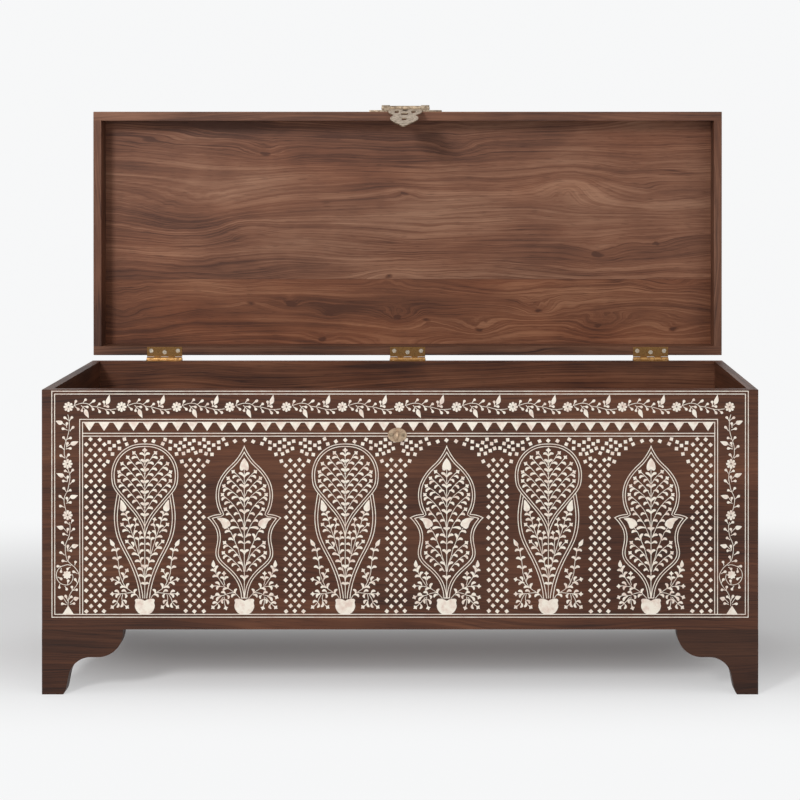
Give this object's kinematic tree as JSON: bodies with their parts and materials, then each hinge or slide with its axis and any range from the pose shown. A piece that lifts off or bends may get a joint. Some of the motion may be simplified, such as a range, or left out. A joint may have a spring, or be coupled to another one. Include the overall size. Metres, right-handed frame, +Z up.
{
  "type": "storage trunk",
  "caption": "Dark wood storage trunk on bracket feet, bone inlaid front, with a hinged tray lid and a brass hasp that drops over a staple.",
  "frame": {"origin": "on the floor, under the middle of the box that holds the trunk with its lid open", "axes": "+X to the right along the trunk's length, +Y to the back, +Z up; the inlaid front faces -Y"},
  "size_m": [1.2, 0.5566, 0.9981],
  "materials": {
    "carcass_wood": "satin dark stained hardwood",
    "foot_wood": "satin dark stained hardwood",
    "lid_wood": "satin dark stained hardwood",
    "bone": "polished bone, satin",
    "hinge_brass": "aged brass",
    "screw_brass": "aged brass",
    "hasp_brass": "antique brass, brushed"
  },
  "bodies": {
    "carcass": {"front_board": "carcass_wood", "back_board": "carcass_wood", "left_end_board": "carcass_wood", "right_end_board": "carcass_wood", "bottom_panel": "carcass_wood", "foot_glue_blocks": "carcass_wood", "foot_front_left_face": "foot_wood", "foot_front_left_return": "foot_wood", "foot_front_right_face": "foot_wood", "foot_front_right_return": "foot_wood", "foot_back_left_face": "foot_wood", "foot_back_left_return": "foot_wood", "foot_back_right_face": "foot_wood", "foot_back_right_return": "foot_wood", "hinge_left_carcass_leaf": "hinge_brass", "hinge_left_pin": "hinge_brass", "hinge_middle_carcass_leaf": "hinge_brass", "hinge_middle_pin": "hinge_brass", "hinge_right_carcass_leaf": "hinge_brass", "hinge_right_pin": "hinge_brass", "carcass_hinge_screws": "screw_brass", "catch_plate": "hasp_brass", "catch_screws": "hasp_brass", "inlay_border_lines": "bone", "inlay_triangles": "bone", "inlay_round_medallions": "bone", "inlay_pointed_medallions": "bone", "inlay_pots": "bone", "inlay_diamonds": "bone", "inlay_rosettes": "bone"},
    "lid": {"lid_top_panel": "lid_wood", "lid_front_rail": "lid_wood", "lid_back_rail": "lid_wood", "lid_left_rail": "lid_wood", "lid_right_rail": "lid_wood", "hinge_left_lid_leaf": "hinge_brass", "hinge_middle_lid_leaf": "hinge_brass", "hinge_right_lid_leaf": "hinge_brass", "lid_hinge_screws": "screw_brass", "hasp_base_plate": "hasp_brass", "hasp_base_screws": "hasp_brass"},
    "hasp_pin": {"hasp_pin": "hasp_brass"},
    "hasp_flap": {"hasp_flap": "hasp_brass"}
  },
  "joints": [
    {"name": "lid_hinge", "type": "hinge", "parent": "carcass", "child": "lid", "pos_m": [0, 0.21325, 0.512], "axis": [1, 0, 0], "range_deg": [0, 90]},
    {"name": "hasp_pin_turn", "type": "hinge", "parent": "lid", "child": "hasp_pin", "pos_m": [-0.0045, 0.23725, 0.9918], "axis": [-1, 0, 0], "range_deg": [0, 13]},
    {"name": "hasp_swing", "type": "hinge", "parent": "hasp_pin", "child": "hasp_flap", "pos_m": [-0.0045, 0.23725, 0.9918], "axis": [-1, 0, 0], "range_deg": [0, 180]}
  ],
  "couplings": [
    {"joint": "hasp_pin_turn", "follows": "lid_hinge", "ratio": 0.14444}
  ]
}
